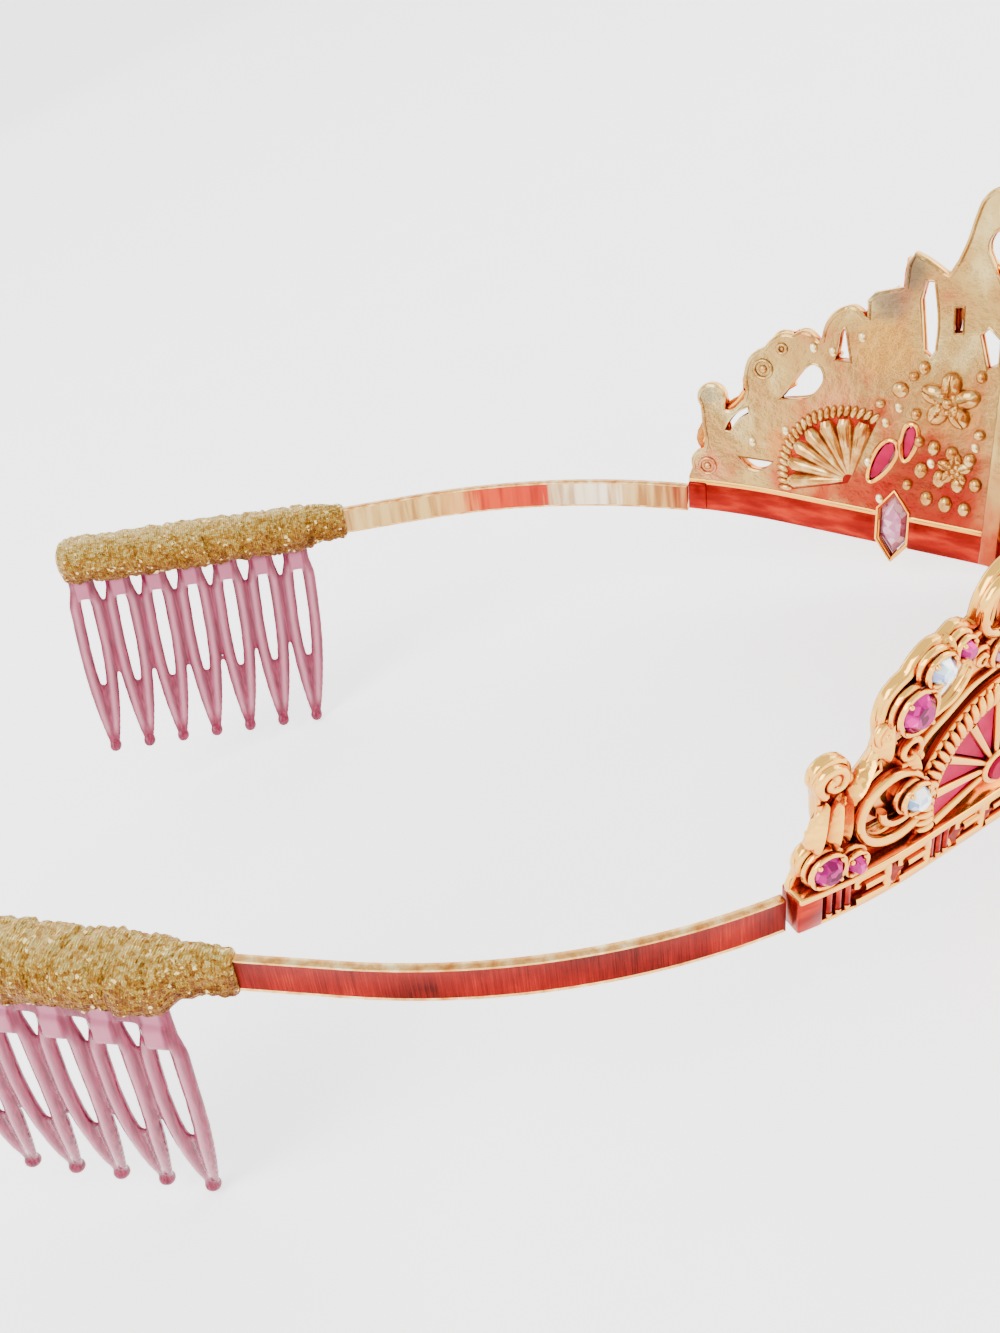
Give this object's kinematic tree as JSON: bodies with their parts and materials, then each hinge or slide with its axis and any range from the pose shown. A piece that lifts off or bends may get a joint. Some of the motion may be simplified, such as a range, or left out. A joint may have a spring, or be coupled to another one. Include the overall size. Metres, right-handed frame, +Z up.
{
  "type": "costume tiara",
  "caption": "Horseshoe-shaped costume tiara with a pierced, jewelled casting in front, strip side bands and ribbon-wound hair combs at the ends.",
  "frame": {"origin": "middle of the bounding box's base: on the surface it rests on, midway between the sides and midway from front to back", "axes": "+Z up from the surface it rests on, +Y from the casting in front to the open rear end, +X to one side; it rests pitched up at the rear by about 17 degrees on its first comb teeth and the front of its rail"},
  "size_m": [0.1102, 0.1802, 0.0556],
  "materials": {
    "cast_gold": "polished",
    "band_metal": "brushed, warm red gold",
    "comb_plastic": "clear, pink tint",
    "gold_ribbon": "metallic woven ribbon",
    "pink_enamel": "glossy",
    "magenta_glass": "cut",
    "ice_glass": "cut",
    "blush_glass": "cut"
  },
  "bodies": {
    "root": {"front_casting": "cast_gold", "side_band_left": "band_metal", "side_band_right": "band_metal", "comb_left": "comb_plastic", "comb_right": "comb_plastic", "wrap_left": "gold_ribbon", "wrap_right": "gold_ribbon", "fan_enamel_left": "pink_enamel", "fan_enamel_right": "pink_enamel", "petal_enamel_left": "pink_enamel", "petal_enamel_right": "pink_enamel", "centre_enamel": "pink_enamel", "end_oval_left": "magenta_glass", "end_oval_right": "magenta_glass", "end_round_left": "magenta_glass", "end_round_right": "magenta_glass", "volute_stone_left": "ice_glass", "volute_stone_right": "ice_glass", "crest_oval_left": "magenta_glass", "crest_oval_right": "magenta_glass", "ice_oval_left": "ice_glass", "ice_oval_right": "ice_glass", "crest_round_left": "magenta_glass", "crest_round_right": "magenta_glass", "arch_stone_left": "blush_glass", "arch_stone_right": "blush_glass", "rail_stone_left": "blush_glass", "rail_stone_right": "blush_glass", "centre_stone": "magenta_glass", "top_stone": "ice_glass", "inner_stone_left": "ice_glass", "inner_stone_right": "ice_glass"}
  },
  "joints": []
}
